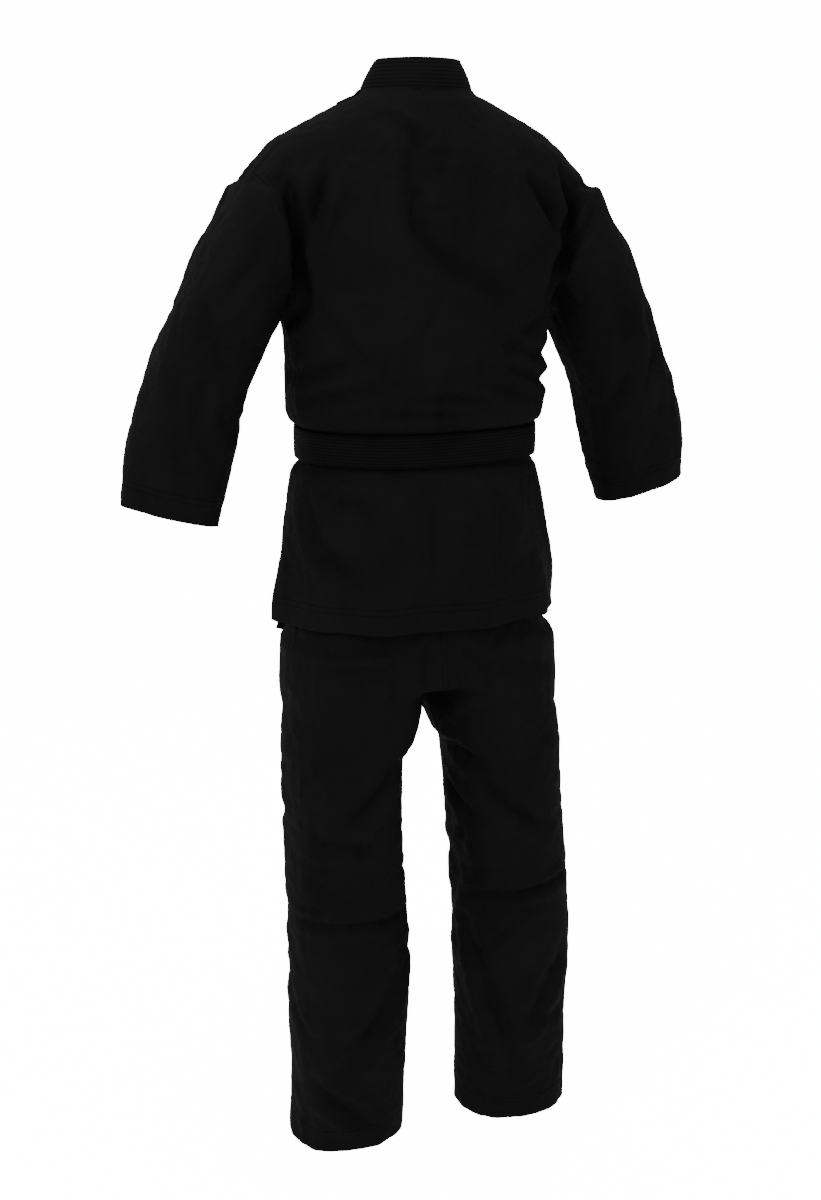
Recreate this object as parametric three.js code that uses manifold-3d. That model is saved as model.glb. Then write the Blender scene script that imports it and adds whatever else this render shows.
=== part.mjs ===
// A martial arts uniform as it is worn: jacket, belt and trousers, in millimetres.
// The origin is on the wearer's shoulder line at the neck. +Z is up, the front faces -Y,
// and the wearer's left is +X. Every cloth panel is a thin shell between two offset lofts.
import * as THREE from 'three';
import { mergeVertices } from 'three/addons/utils/BufferGeometryUtils.js';
import Module from 'manifold-3d';

const wasm = await Module();
wasm.setup();

// Cloth and clearances
const CLOTH = 3;
const SEAM_GAP = 0.4;
const LAYER = CLOTH + SEAM_GAP;
const FACETS = 32;
const SQUARENESS = 2.4;
const REACH = 900;
const OVERRUN = 30;

// Heights down the jacket
const NECK_LEVEL = 4;
const SHOULDER_DROP = 52;
const ARMPIT_LEVEL = -270;
const BELT_CENTRE = -432;
const VENT_TOP = -497;
const JACKET_HEM = -664;

// Half-widths and half-depths of the jacket
const NECK_WIDTH = 70;
const NECK_DEPTH = 64;
const SHOULDER_WIDTH = 176;
const CHEST_WIDTH = 176;
const CHEST_DEPTH = 120;
const WAIST_WIDTH = 154;
const WAIST_DEPTH = 104;
const HEM_WIDTH = 185;
const HEM_DEPTH = 130;
const BLOUSING = 15;

// Collar and lapels
const COLLAR_TOP = 40;
const COLLAR_TOP_WIDTH = 48;
const COLLAR_TOP_DEPTH = 50;
const LAPEL_WIDTH = 45;

// Armhole and sleeve
const ARMHOLE = { x: 235, z: -175, radius: 105 };
const SLEEVE_TILT = THREE.MathUtils.degToRad(16);
const CUFF = { x: 331, z: -514, width: 63, depth: 45 };
const SLEEVE_WIDTH = 62;
const SLEEVE_DEPTH = 90;

// Underarm gusset
const GUSSET_HALF = 26;
const GUSSET_HEIGHT = 46;

// Belt
const BELT_HEIGHT = 42;
const BELT_THICK = 3.5;
const BELT_STEP = 1;
const KNOT = { width: 30, depth: 12, height: 44 };
const TAIL = { width: 40, thick: 4, drop: 270, splay: 118, lean: THREE.MathUtils.degToRad(6.5) };
const TIE_HEIGHT = 12;
const TIE_TOP = -464;

// Trousers
const WAISTBAND_TOP = -412;
const WAISTBAND_HEIGHT = 38;
const HIP = { x: 85, z: -684, radius: 150 };
const CROTCH_LEVEL = -748;
const HIP_WIDTH = 188;
const HIP_DEPTH = 118;
const KNEE_LEVEL = -1096;
const TROUSER_HEM = -1408;
const LEG_SWAY = -5;
const CROTCH_DIAMOND = { half: 44, above: 45, below: 80 };

const BLACK_COTTON = { color: 0x141416, roughness: 0.92, metalness: 0 };
const BLACK_BELT = { color: 0x101012, roughness: 0.8, metalness: 0 };

function ring(z, width, depth, x = 0, y = 0) {
  return { x, y, z, width, depth };
}

function squared(value) {
  return Math.sign(value) * Math.abs(value) ** (2 / SQUARENESS);
}

function toSolid(geometry) {
  const bare = geometry.clone();
  bare.deleteAttribute('normal');
  bare.deleteAttribute('uv');
  const merged = mergeVertices(bare);
  const vertProperties = new Float32Array(merged.attributes.position.array);
  const triVerts = new Uint32Array(merged.index.array);
  return new wasm.Manifold(new wasm.Mesh({ numProp: 3, vertProperties, triVerts }));
}

// A closed form through oval rings, listed from the top down. Each ring may be tilted about Y.
function loft(rings, offset = 0, tilt = 0) {
  const rows = rings.length - 1;
  const geometry = new THREE.CylinderGeometry(1, 1, 1, FACETS, rows);
  const place = geometry.attributes.position;
  for (let i = 0; i < place.count; i += 1) {
    const at = rings[Math.round((0.5 - place.getY(i)) * rows)];
    const across = squared(place.getX(i)) * (at.width + offset);
    const deep = squared(-place.getZ(i)) * (at.depth + offset);
    place.setXYZ(i, at.x + across * Math.cos(tilt), at.y + deep, at.z + across * Math.sin(tilt));
  }
  return toSolid(geometry);
}

// The rings with one more at each open end, so that a hollow runs out through the opening.
function opened(rings, top = true, bottom = true) {
  const first = rings[0];
  const last = rings[rings.length - 1];
  const above = { ...first, z: first.z + OVERRUN };
  const below = { ...last, z: last.z - OVERRUN };
  return [...(top ? [above] : []), ...rings, ...(bottom ? [below] : [])];
}

function box(low, high) {
  const size = high.map((value, k) => value - low[k]);
  const middle = high.map((value, k) => (value + low[k]) / 2);
  return toSolid(new THREE.BoxGeometry(...size).translate(...middle));
}

// A solid of one outline seen from the front, given as [x, z] pairs, between two depths.
function frontPrism(points, from, to) {
  const outline = new THREE.Shape(points.map(([x, z]) => new THREE.Vector2(x, z)));
  const geometry = new THREE.ExtrudeGeometry(outline, { depth: to - from, bevelEnabled: false });
  geometry.rotateX(Math.PI / 2);
  geometry.translate(0, to, 0);
  return toSolid(geometry);
}

// A solid of one outline seen from the side, given as [y, z] pairs, between two widths.
function sidePrism(points, from, to) {
  const outline = new THREE.Shape(points.map(([y, z]) => new THREE.Vector2(y, z)));
  const geometry = new THREE.ExtrudeGeometry(outline, { depth: to - from, bevelEnabled: false });
  geometry.rotateX(Math.PI / 2);
  geometry.rotateZ(Math.PI / 2);
  geometry.translate(from, 0, 0);
  return toSolid(geometry);
}

function crossCylinder(x, z, radius) {
  return toSolid(new THREE.CylinderGeometry(radius, radius, REACH, FACETS * 2).translate(x, 0, z));
}

function mirrored(solid, side) {
  return side > 0 ? solid : solid.mirror([1, 0, 0]);
}

// Offcuts that the cuts leave beside a panel are trimmed away.
function largest(solid) {
  const pieces = solid.decompose();
  pieces.sort((a, b) => b.volume() - a.volume());
  return pieces[0];
}

function addPiece(group, name, solid, finish) {
  const { vertProperties, triVerts } = largest(solid).getMesh();
  const geometry = new THREE.BufferGeometry();
  geometry.setAttribute('position', new THREE.BufferAttribute(new Float32Array(vertProperties), 3));
  geometry.setIndex(new THREE.BufferAttribute(new Uint32Array(triVerts), 1));
  geometry.computeVertexNormals();
  const mesh = new THREE.Mesh(geometry, new THREE.MeshStandardMaterial(finish));
  mesh.name = name;
  group.add(mesh);
}

// ---- Jacket forms ----
const beltTop = BELT_CENTRE + BELT_HEIGHT / 2;
const beltBottom = BELT_CENTRE - BELT_HEIGHT / 2;
const waistTop = beltTop + SEAM_GAP * 4;
const waistBottom = beltBottom - SEAM_GAP * 4;
const skirtMiddle = (VENT_TOP + JACKET_HEM) / 2;

const bodyRings = [
  ring(NECK_LEVEL, NECK_WIDTH, NECK_DEPTH),
  ring(-SHOULDER_DROP / 5, SHOULDER_WIDTH * 0.55, NECK_DEPTH * 1.2),
  ring(-SHOULDER_DROP, SHOULDER_WIDTH, CHEST_DEPTH * 0.83),
  ring(-SHOULDER_DROP * 1.5, SHOULDER_WIDTH + 28, CHEST_DEPTH * 0.92),
  ring(ARMHOLE.z + ARMHOLE.radius * 0.6, SHOULDER_WIDTH + 50, CHEST_DEPTH * 0.97),
  ring(ARMHOLE.z, SHOULDER_WIDTH + 26, CHEST_DEPTH),
  ring(ARMPIT_LEVEL, CHEST_WIDTH, CHEST_DEPTH),
  ring(ARMPIT_LEVEL - 40, CHEST_WIDTH - 6, CHEST_DEPTH),
  ring(beltTop + BLOUSING, WAIST_WIDTH + BLOUSING, WAIST_DEPTH + BLOUSING),
  ring(waistTop, WAIST_WIDTH, WAIST_DEPTH),
  ring(waistBottom, WAIST_WIDTH, WAIST_DEPTH),
  ring(waistBottom - BLOUSING, WAIST_WIDTH + BLOUSING * 0.7, WAIST_DEPTH + BLOUSING * 0.8),
  ring(VENT_TOP - BLOUSING, (WAIST_WIDTH + HEM_WIDTH) / 2 + 3, (WAIST_DEPTH + HEM_DEPTH) / 2 + 4),
  ring(skirtMiddle, HEM_WIDTH - 3, HEM_DEPTH - 3),
  ring(JACKET_HEM, HEM_WIDTH, HEM_DEPTH),
];

// A ring of the sleeve at a share of the way from the armhole to the cuff, moved out by a bow.
function armRing(share, width, depth, bow) {
  const { lerp } = THREE.MathUtils;
  return ring(lerp(ARMHOLE.z, CUFF.z, share), width, depth, lerp(ARMHOLE.x, CUFF.x, share) + bow);
}

const sleeveRings = [
  armRing(-0.17, SLEEVE_WIDTH * 0.61, SLEEVE_DEPTH * 0.9, -19),
  armRing(-0.07, SLEEVE_WIDTH * 0.75, SLEEVE_DEPTH, -22),
  armRing(0, SLEEVE_WIDTH * 0.84, SLEEVE_DEPTH * 1.05, -20),
  armRing(0.09, SLEEVE_WIDTH * 0.92, SLEEVE_DEPTH * 1.06, -15),
  armRing(0.23, SLEEVE_WIDTH * 0.97, SLEEVE_DEPTH, -9),
  armRing(0.36, SLEEVE_WIDTH, SLEEVE_DEPTH * 0.9, -2),
  armRing(0.52, SLEEVE_WIDTH, (SLEEVE_DEPTH * 2 + CUFF.depth) / 3, 7),
  armRing(0.69, SLEEVE_WIDTH + 4, (SLEEVE_DEPTH + CUFF.depth) / 2, 6),
  armRing(0.84, SLEEVE_WIDTH + 5, (SLEEVE_DEPTH + CUFF.depth * 2) / 3, 4),
  armRing(1, CUFF.width, CUFF.depth, 0),
];

function sleeveForm(offset, extended) {
  const last = sleeveRings[sleeveRings.length - 1];
  const beyond = {
    ...last,
    x: last.x + OVERRUN * Math.sin(SLEEVE_TILT),
    z: last.z - OVERRUN * Math.cos(SLEEVE_TILT),
  };
  return loft(extended ? [...sleeveRings, beyond] : sleeveRings, offset, SLEEVE_TILT);
}

// The filled form of the whole jacket, its surface moved by an offset.
function jacketForm(offset, extended) {
  const arm = sleeveForm(offset, extended);
  const body = loft(extended ? opened(bodyRings) : bodyRings, offset);
  return body.add(arm).add(mirrored(arm, -1));
}

const outerForm = jacketForm(0, false);
const middleForm = jacketForm(-LAYER, true);
const outerShell = outerForm.subtract(jacketForm(-CLOTH, true));
const level = box([-REACH, -REACH, JACKET_HEM], [REACH, REACH, NECK_LEVEL]);
const innerShell = middleForm.subtract(jacketForm(-LAYER - CLOTH, true)).intersect(level);

// What belongs to a sleeve: all inside the armhole's round seam, and the arm below it.
function armZone(side, clearance) {
  const seam = crossCylinder(ARMHOLE.x, ARMHOLE.z, ARMHOLE.radius + clearance);
  const under = CHEST_WIDTH + 2;
  const arm = frontPrism([
    [ARMHOLE.x, ARMHOLE.z],
    [ARMHOLE.x - ARMHOLE.radius * 0.45 - clearance, ARMPIT_LEVEL + 8],
    [under - clearance, ARMPIT_LEVEL - 10],
    [under + 4, ARMPIT_LEVEL - 40],
    [under + 60, CUFF.z - 60],
    [CUFF.x + 150, CUFF.z - 60],
    [CUFF.x + 150, ARMHOLE.z + 60],
  ], -REACH / 2, REACH / 2);
  return mirrored(seam.add(arm), side);
}

const bothArms = armZone(1, SEAM_GAP / 2).add(armZone(-1, SEAM_GAP / 2));
const outerBody = outerShell.subtract(bothArms);
const innerBody = innerShell.subtract(bothArms);

// ---- Front opening: the left front laps over the right ----
const frontEdge = [
  [52, NECK_LEVEL + OVERRUN],
  [52, NECK_LEVEL],
  [38, -90],
  [0, -215],
  [-60, -340],
  [-105, BELT_CENTRE],
  [-105, JACKET_HEM - OVERRUN],
];

function movedEdge(distance) {
  return frontEdge.map(([x, z]) => [x + distance, z]);
}

function frontZone(edge, side) {
  const far = [[REACH, JACKET_HEM - OVERRUN], [REACH, NECK_LEVEL + OVERRUN]];
  return mirrored(frontPrism([...edge, ...far], -REACH / 2, -SEAM_GAP / 2), side);
}

function lapelZone(side) {
  const inner = movedEdge(LAPEL_WIDTH - SEAM_GAP).reverse();
  return mirrored(frontPrism([...frontEdge, ...inner], -REACH / 2, -SEAM_GAP / 2), side);
}

const panelEdge = movedEdge(LAPEL_WIDTH);
const ventCut = sidePrism([
  [0, VENT_TOP],
  [-6, JACKET_HEM - OVERRUN],
  [6, JACKET_HEM - OVERRUN],
], -REACH / 2, REACH / 2);

function gussetZone(grow) {
  const middle = ARMPIT_LEVEL - GUSSET_HEIGHT * 0.45;
  return sidePrism([
    [0, middle + GUSSET_HEIGHT + grow],
    [GUSSET_HALF + grow, middle],
    [0, middle - GUSSET_HEIGHT - grow],
    [-GUSSET_HALF - grow, middle],
  ], -REACH / 2, REACH / 2);
}

const backHalf = box([-REACH, SEAM_GAP / 2, -REACH], [REACH, REACH, REACH]);
const leftSide = box([SEAM_GAP / 2, -REACH, -REACH * 2], [REACH, REACH, REACH]);
const gussetCut = gussetZone(SEAM_GAP);
const collarRings = [
  ring(COLLAR_TOP, COLLAR_TOP_WIDTH, COLLAR_TOP_DEPTH),
  ring(NECK_LEVEL + SEAM_GAP, NECK_WIDTH - 1, NECK_DEPTH - 1),
];

function makeJacket() {
  const group = new THREE.Group();
  const back = outerBody.intersect(backHalf).subtract(ventCut).subtract(gussetCut);
  addPiece(group, 'jacket_back_panel', back, BLACK_COTTON);
  const left = outerBody.intersect(frontZone(panelEdge, 1)).subtract(ventCut).subtract(gussetCut);
  addPiece(group, 'jacket_left_front_panel', left, BLACK_COTTON);
  const right = innerBody.intersect(frontZone(panelEdge, -1)).subtract(ventCut);
  addPiece(group, 'jacket_right_front_panel', right, BLACK_COTTON);
  addPiece(group, 'left_lapel_band', outerBody.intersect(lapelZone(1)), BLACK_COTTON);
  addPiece(group, 'right_lapel_band', innerBody.intersect(lapelZone(-1)), BLACK_COTTON);
  const throat = frontPrism([[0, -40], [-80, COLLAR_TOP + 60], [80, COLLAR_TOP + 60]], -REACH / 2, 0);
  const collar = loft(collarRings).subtract(loft(opened(collarRings), -CLOTH)).subtract(throat);
  addPiece(group, 'collar_band', collar, BLACK_COTTON);
  const lined = box([-REACH, SEAM_GAP / 2, ARMHOLE.z + 20], [REACH, REACH, REACH]);
  addPiece(group, 'shoulder_lining', innerBody.intersect(lined), BLACK_COTTON);
  for (const side of [1, -1]) {
    const name = side > 0 ? 'left' : 'right';
    const half = mirrored(leftSide, side);
    const gusset = outerBody.intersect(gussetZone(0)).intersect(half);
    addPiece(group, `${name}_underarm_gusset`, gusset, BLACK_COTTON);
    const sleeve = outerShell.intersect(armZone(side, -SEAM_GAP / 2));
    addPiece(group, `${name}_sleeve`, sleeve, BLACK_COTTON);
  }
  const tieZone = (side) => mirrored(
    box([105 + SEAM_GAP, -REACH, TIE_TOP - TIE_HEIGHT], [REACH, -SEAM_GAP, TIE_TOP]), side);
  addPiece(group, 'outer_tie', outerBody.intersect(tieZone(-1)), BLACK_COTTON);
  addPiece(group, 'inner_tie', innerBody.intersect(tieZone(1)), BLACK_COTTON);
  return group;
}

// ---- Belt ----
function beltTurn(gap, lift) {
  const rings = [
    ring(beltTop - lift, WAIST_WIDTH, WAIST_DEPTH),
    ring(beltBottom + lift, WAIST_WIDTH, WAIST_DEPTH),
  ];
  return loft(rings, gap + BELT_THICK).subtract(loft(opened(rings), gap));
}

const outerTurnGap = SEAM_GAP * 2 + BELT_THICK;
const beltFront = -(WAIST_DEPTH + outerTurnGap + BELT_THICK);
const knotCentre = beltFront - SEAM_GAP - KNOT.depth;

function makeBelt() {
  const group = new THREE.Group();
  addPiece(group, 'belt_inner_turn', beltTurn(SEAM_GAP, 0), BLACK_BELT);
  addPiece(group, 'belt_outer_turn', beltTurn(outerTurnGap, BELT_STEP), BLACK_BELT);
  const half = KNOT.height / 2;
  const knot = loft([
    ring(BELT_CENTRE + half, KNOT.width * 0.75, KNOT.depth * 0.6, 0, knotCentre),
    ring(BELT_CENTRE + half * 0.5, KNOT.width, KNOT.depth, 0, knotCentre),
    ring(BELT_CENTRE - half * 0.5, KNOT.width, KNOT.depth, 0, knotCentre),
    ring(BELT_CENTRE - half, KNOT.width * 0.8, KNOT.depth * 0.6, 0, knotCentre),
  ]);
  addPiece(group, 'belt_knot', knot, BLACK_BELT);
  const top = BELT_CENTRE - half - SEAM_GAP * 1.75;
  const slant = TAIL.splay / TAIL.drop;
  const outline = [
    [1, 0],
    [1 + TAIL.width, 0],
    [1 + TAIL.width + TAIL.splay, -TAIL.drop],
    [1 + TAIL.splay, -TAIL.drop - TAIL.width * slant * 0.8],
  ];
  const strip = frontPrism(outline, -TAIL.thick / 2, TAIL.thick / 2);
  const leaned = strip.rotate([-THREE.MathUtils.radToDeg(TAIL.lean), 0, 0]);
  const hung = leaned.translate([0, knotCentre, top]);
  addPiece(group, 'left_belt_tail', hung, BLACK_BELT);
  addPiece(group, 'right_belt_tail', mirrored(hung, -1), BLACK_BELT);
  return group;
}

// ---- Trousers ----
const waistbandBottom = WAISTBAND_TOP - WAISTBAND_HEIGHT;
const tuck = 2 * LAYER;
const waistbandRings = [
  ring(WAISTBAND_TOP, WAIST_WIDTH - tuck, WAIST_DEPTH - tuck),
  ring(waistbandBottom, WAIST_WIDTH - tuck, WAIST_DEPTH - tuck),
];
const hipRings = [
  ring(waistbandBottom - SEAM_GAP, WAIST_WIDTH - tuck, WAIST_DEPTH - tuck),
  ring(waistBottom - SEAM_GAP, WAIST_WIDTH - tuck, WAIST_DEPTH - tuck),
  ring(VENT_TOP, WAIST_WIDTH, WAIST_DEPTH - 2),
  ring(skirtMiddle, HEM_WIDTH - 16, HEM_DEPTH - 18),
  ring(JACKET_HEM, HEM_WIDTH - 12, HEM_DEPTH - 14),
  ring(JACKET_HEM - 36, HIP_WIDTH - 3, HIP_DEPTH),
  ring(CROTCH_LEVEL, HIP_WIDTH + 3, HIP_DEPTH - 6, 0, 12),
];
const legRings = [
  ring(JACKET_HEM - 30, 92, HIP_DEPTH - 8, 96, 6),
  ring(CROTCH_LEVEL, 92, HIP_DEPTH - 6, 99, 12),
  ring((CROTCH_LEVEL * 2 + KNEE_LEVEL) / 3, 79, 98, 115, 28),
  ring(KNEE_LEVEL, 81, 86, 119, 46),
  ring((KNEE_LEVEL + TROUSER_HEM) / 2, 82, 80, 123, 50),
  ring(TROUSER_HEM, 80, 66, 126, 48),
];

// One leg. The wearer stands with both knees a little to the right, so the legs aren't mirrored.
function legForm(side, offset, extended) {
  const rings = extended ? opened(legRings, false, true) : legRings;
  const placed = rings.map((at) => {
    const sway = at.z <= KNEE_LEVEL ? LEG_SWAY : 0;
    return { ...at, x: side * at.x + sway };
  });
  return loft(placed, offset);
}

function trouserForm(offset, extended) {
  const floor = CROTCH_LEVEL + CLOTH;
  const hips = extended
    ? opened(hipRings, true, false).map((at) => ({ ...at, z: Math.max(at.z, floor) }))
    : hipRings;
  return loft(hips, offset).add(legForm(1, offset, extended)).add(legForm(-1, offset, extended));
}

function seatZone(clearance) {
  const upper = box([-REACH, -REACH, HIP.z], [REACH, REACH, REACH]);
  const round = crossCylinder(HIP.x, HIP.z, HIP.radius + clearance);
  return upper.add(round).add(mirrored(round, -1));
}

function diamond(grow) {
  return frontPrism([
    [0, CROTCH_LEVEL + CROTCH_DIAMOND.above + grow],
    [CROTCH_DIAMOND.half + grow, CROTCH_LEVEL - 8],
    [0, CROTCH_LEVEL - CROTCH_DIAMOND.below - grow],
    [-CROTCH_DIAMOND.half - grow, CROTCH_LEVEL - 8],
  ], -REACH / 2, REACH / 2);
}

function makeTrousers() {
  const group = new THREE.Group();
  const cloth = trouserForm(0, false).subtract(trouserForm(-CLOTH, true));
  const seat = cloth.intersect(seatZone(-SEAM_GAP / 2));
  const legs = cloth.subtract(seatZone(SEAM_GAP / 2));
  const waistband = loft(waistbandRings).subtract(loft(opened(waistbandRings), -CLOTH));
  addPiece(group, 'trouser_waistband', waistband, BLACK_COTTON);
  addPiece(group, 'crotch_gusset', seat.intersect(diamond(-SEAM_GAP)), BLACK_COTTON);
  for (const side of [1, -1]) {
    const name = side > 0 ? 'left' : 'right';
    const half = mirrored(leftSide, side);
    addPiece(group, `${name}_trouser_seat`, seat.intersect(half).subtract(diamond(0)), BLACK_COTTON);
    addPiece(group, `${name}_trouser_leg`, legs.intersect(half), BLACK_COTTON);
  }
  return group;
}

const uniform = new THREE.Group();
uniform.add(makeJacket(), makeBelt(), makeTrousers());

export default uniform;
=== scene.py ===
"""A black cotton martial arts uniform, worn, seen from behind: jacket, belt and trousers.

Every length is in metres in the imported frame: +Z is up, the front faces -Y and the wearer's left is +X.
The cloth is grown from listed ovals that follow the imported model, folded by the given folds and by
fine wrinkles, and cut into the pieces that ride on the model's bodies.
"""

from __future__ import annotations

import logging
import math
from dataclasses import dataclass, field
from enum import Enum

import bmesh
import bpy
import numpy as np
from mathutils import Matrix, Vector, noise
from mathutils.bvhtree import BVHTree

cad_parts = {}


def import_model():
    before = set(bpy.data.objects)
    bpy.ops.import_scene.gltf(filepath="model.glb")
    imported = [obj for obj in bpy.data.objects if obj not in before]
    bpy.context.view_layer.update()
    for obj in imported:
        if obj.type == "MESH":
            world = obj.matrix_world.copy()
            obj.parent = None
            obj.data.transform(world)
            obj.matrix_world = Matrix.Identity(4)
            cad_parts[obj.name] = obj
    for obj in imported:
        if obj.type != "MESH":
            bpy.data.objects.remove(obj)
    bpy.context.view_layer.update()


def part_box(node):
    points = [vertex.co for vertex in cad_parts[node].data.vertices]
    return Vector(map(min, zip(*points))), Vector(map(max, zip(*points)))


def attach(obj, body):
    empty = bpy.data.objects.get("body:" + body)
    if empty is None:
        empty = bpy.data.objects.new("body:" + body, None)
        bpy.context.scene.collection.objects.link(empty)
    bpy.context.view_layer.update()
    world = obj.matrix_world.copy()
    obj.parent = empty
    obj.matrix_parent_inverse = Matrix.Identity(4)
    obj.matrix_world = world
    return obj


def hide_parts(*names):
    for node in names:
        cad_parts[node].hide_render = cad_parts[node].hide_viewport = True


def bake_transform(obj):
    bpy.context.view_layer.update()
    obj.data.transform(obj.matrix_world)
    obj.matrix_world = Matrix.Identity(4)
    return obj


LOG = logging.getLogger("uniform")
MM = 0.001


class Side(Enum):
    """The wearer's own left and right."""

    LEFT = 1
    RIGHT = -1

    @property
    def word(self) -> str:
        """The side's name as it stands in node and body names."""
        return self.name.lower()


class CutAway(Enum):
    """What a cut takes off: the side that its normal points to, or nothing."""

    ABOVE = "above"
    NOTHING = "nothing"


# ---------------------------------------------------------------- shared node groups


def new_group(name: str, inputs: dict[str, float], outputs: list[str]) -> bpy.types.NodeTree:
    """Start a shader node group with float inputs and outputs.

    Args:
        name: The group's name.
        inputs: Each input's name and default value.
        outputs: The names of the float outputs.

    Returns:
        The group's node tree, holding a Group Input and a Group Output node.
    """
    tree = bpy.data.node_groups.new(name, "ShaderNodeTree")
    for label, value in inputs.items():
        socket = tree.interface.new_socket(label, in_out="INPUT", socket_type="NodeSocketFloat")
        socket.default_value = value
    for label in outputs:
        tree.interface.new_socket(label, in_out="OUTPUT", socket_type="NodeSocketFloat")
    tree.nodes.new("NodeGroupInput")
    tree.nodes.new("NodeGroupOutput")
    return tree


def ends(tree: bpy.types.NodeTree) -> tuple[bpy.types.Node, bpy.types.Node]:
    """Give a group's input node and output node."""
    given = next(n for n in tree.nodes if n.bl_idname == "NodeGroupInput")
    out = next(n for n in tree.nodes if n.bl_idname == "NodeGroupOutput")
    return given, out


def math_node(tree: bpy.types.NodeTree, operation: str, a: object, b: object = None) -> bpy.types.NodeSocket:
    """Add a Math node whose inputs are sockets or numbers.

    Args:
        tree: The node tree to add to.
        operation: The Math node's operation.
        a: First input, a socket or a number.
        b: Second input, a socket or a number, or None.

    Returns:
        The node's output socket.
    """
    node = tree.nodes.new("ShaderNodeMath")
    node.operation = operation
    for slot, value in zip(node.inputs, (a, b)):
        if value is None:
            continue
        if isinstance(value, (int, float)):
            slot.default_value = value
        else:
            tree.links.new(value, slot)
    return node.outputs[0]


def weave_group() -> bpy.types.NodeTree:
    """Build the twill weave: two crossed diagonal thread bands with a little slub.

    Returns:
        A group with the input Threads per metre and the output Height.
    """
    tree = new_group("twill_weave", {"Threads": 900.0}, ["Height"])
    given, out = ends(tree)
    place = tree.nodes.new("ShaderNodeTexCoord")
    split = tree.nodes.new("ShaderNodeSeparateXYZ")
    tree.links.new(place.outputs["Object"], split.inputs[0])
    across = math_node(tree, "ADD", split.outputs["X"], split.outputs["Y"])
    rise = math_node(tree, "ADD", across, split.outputs["Z"])
    fall = math_node(tree, "SUBTRACT", across, split.outputs["Z"])
    waves = []
    for run, share in ((rise, 1.0), (fall, 0.5)):
        turns = math_node(tree, "MULTIPLY", run, given.outputs["Threads"])
        waves.append(math_node(tree, "MULTIPLY", math_node(tree, "SINE", turns), share))
    slub = tree.nodes.new("ShaderNodeTexNoise")
    slub.inputs["Scale"].default_value = 260.0
    slub.inputs["Detail"].default_value = 3.0
    tree.links.new(place.outputs["Object"], slub.inputs["Vector"])
    threads = math_node(tree, "ADD", waves[0], waves[1])
    tree.links.new(math_node(tree, "ADD", threads, slub.outputs["Fac"]), out.inputs["Height"])
    return tree


def seam_group() -> bpy.types.NodeTree:
    """Build felled seams from the cloth's stored distance to its nearest seam.

    Returns:
        A group with the input Half width in metres and the outputs Height and Line.
    """
    tree = new_group("felled_seam", {"Half width": 0.005}, ["Height", "Line"])
    given, out = ends(tree)
    stored = tree.nodes.new("ShaderNodeAttribute")
    stored.attribute_name = "seam"
    gap = math_node(tree, "ABSOLUTE", stored.outputs["Fac"])
    over = math_node(tree, "SUBTRACT", given.outputs["Half width"], gap)
    soft = math_node(tree, "MULTIPLY", over, 900.0)
    raised = tree.nodes.new("ShaderNodeClamp")
    tree.links.new(soft, raised.inputs["Value"])
    stitch = math_node(tree, "SUBTRACT", gap, math_node(tree, "MULTIPLY", given.outputs["Half width"], 0.72))
    sharp = math_node(tree, "MULTIPLY", math_node(tree, "ABSOLUTE", stitch), 1300.0)
    near = math_node(tree, "SUBTRACT", 0.7, sharp)
    line = tree.nodes.new("ShaderNodeClamp")
    tree.links.new(near, line.inputs["Value"])
    tree.links.new(raised.outputs[0], out.inputs["Height"])
    tree.links.new(line.outputs[0], out.inputs["Line"])
    return tree


def rows_group() -> bpy.types.NodeTree:
    """Build parallel rows of stitching from the stored place across a band.

    Returns:
        A group with the input Rows and the output Line, 1 on a stitch row.
    """
    tree = new_group("stitch_rows", {"Rows": 8.0}, ["Line"])
    given, out = ends(tree)
    stored = tree.nodes.new("ShaderNodeAttribute")
    stored.attribute_name = "across"
    turns = math_node(tree, "MULTIPLY", stored.outputs["Fac"], given.outputs["Rows"])
    part = math_node(tree, "FRACT", turns)
    off = math_node(tree, "ABSOLUTE", math_node(tree, "SUBTRACT", part, 0.5))
    near = math_node(tree, "SUBTRACT", 1.0, math_node(tree, "MULTIPLY", off, 7.0))
    line = tree.nodes.new("ShaderNodeClamp")
    tree.links.new(near, line.inputs["Value"])
    tree.links.new(line.outputs[0], out.inputs["Line"])
    return tree


@dataclass
class Effects:
    """The shared node groups, built once."""

    weave: bpy.types.NodeTree = field(default_factory=weave_group)
    seam: bpy.types.NodeTree = field(default_factory=seam_group)
    rows: bpy.types.NodeTree = field(default_factory=rows_group)


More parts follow.
